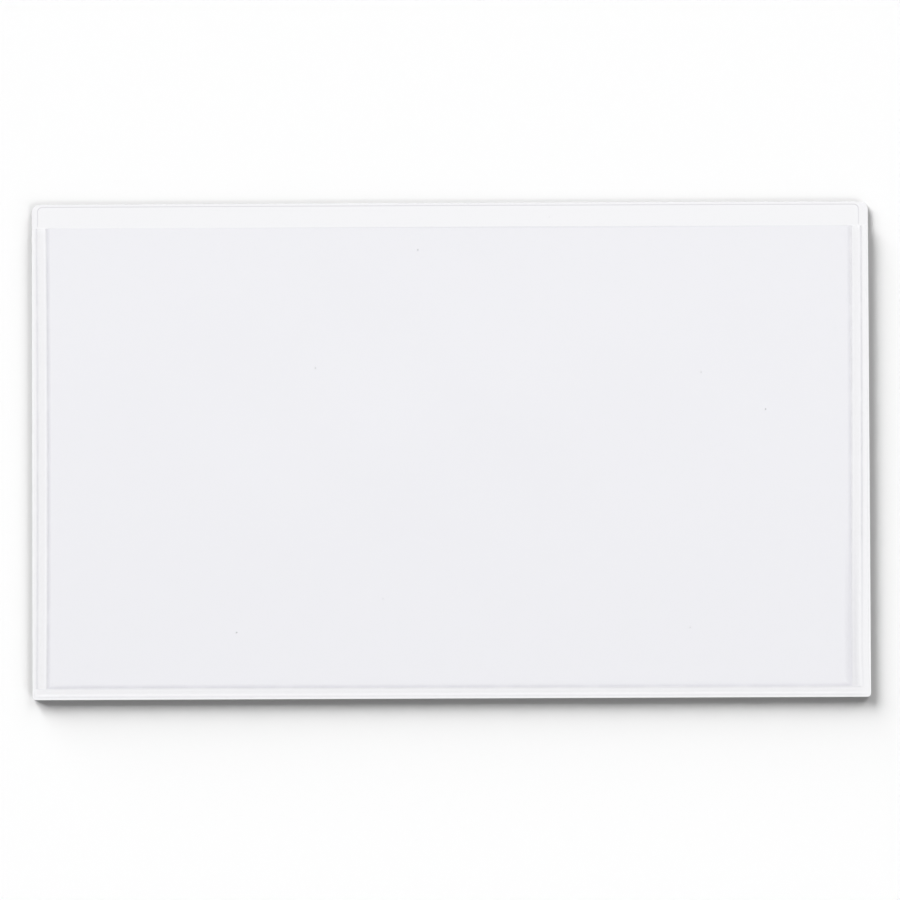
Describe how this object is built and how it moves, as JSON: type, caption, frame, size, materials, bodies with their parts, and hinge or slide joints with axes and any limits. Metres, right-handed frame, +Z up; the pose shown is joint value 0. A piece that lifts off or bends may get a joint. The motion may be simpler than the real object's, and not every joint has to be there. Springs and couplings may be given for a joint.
{
  "type": "coin holder flip",
  "caption": "Flat clear vinyl pocket sleeve for coins and small notes, welded along its sides and bottom, with a front film that lifts at the mouth and a flexible lip behind it.",
  "frame": {"origin": "on the surface that the sleeve lies on, under the middle of its outline", "axes": "+X along the mouth, +Y from the bottom weld to the lip, +Z up, out of the front film"},
  "size_m": [0.1338, 0.0792, 0.001],
  "materials": {
    "clear_film": "clear calendered soft vinyl film, glossy, with a faint violet tint",
    "welded_film": "clear soft vinyl fused in the weld, glossy, with pressed lines"
  },
  "bodies": {
    "sleeve": {"back_sheet": "clear_film", "left_weld": "welded_film", "right_weld": "welded_film", "bottom_weld": "welded_film"},
    "front": {"front_sheet": "clear_film"},
    "lip": {"lip": "clear_film"}
  },
  "joints": [
    {"name": "mouth_lift", "type": "hinge", "parent": "sleeve", "child": "front", "pos_m": [0, -0.03608, 0.0009], "axis": [1, 0, 0], "range_deg": [0, 7], "stiffness_Nm_per_rad": 0.18},
    {"name": "lip_flex", "type": "hinge", "parent": "sleeve", "child": "lip", "pos_m": [0, 0.0363, 0.00015], "axis": [1, 0, 0], "range_deg": [0, 80], "stiffness_Nm_per_rad": 0.003}
  ]
}
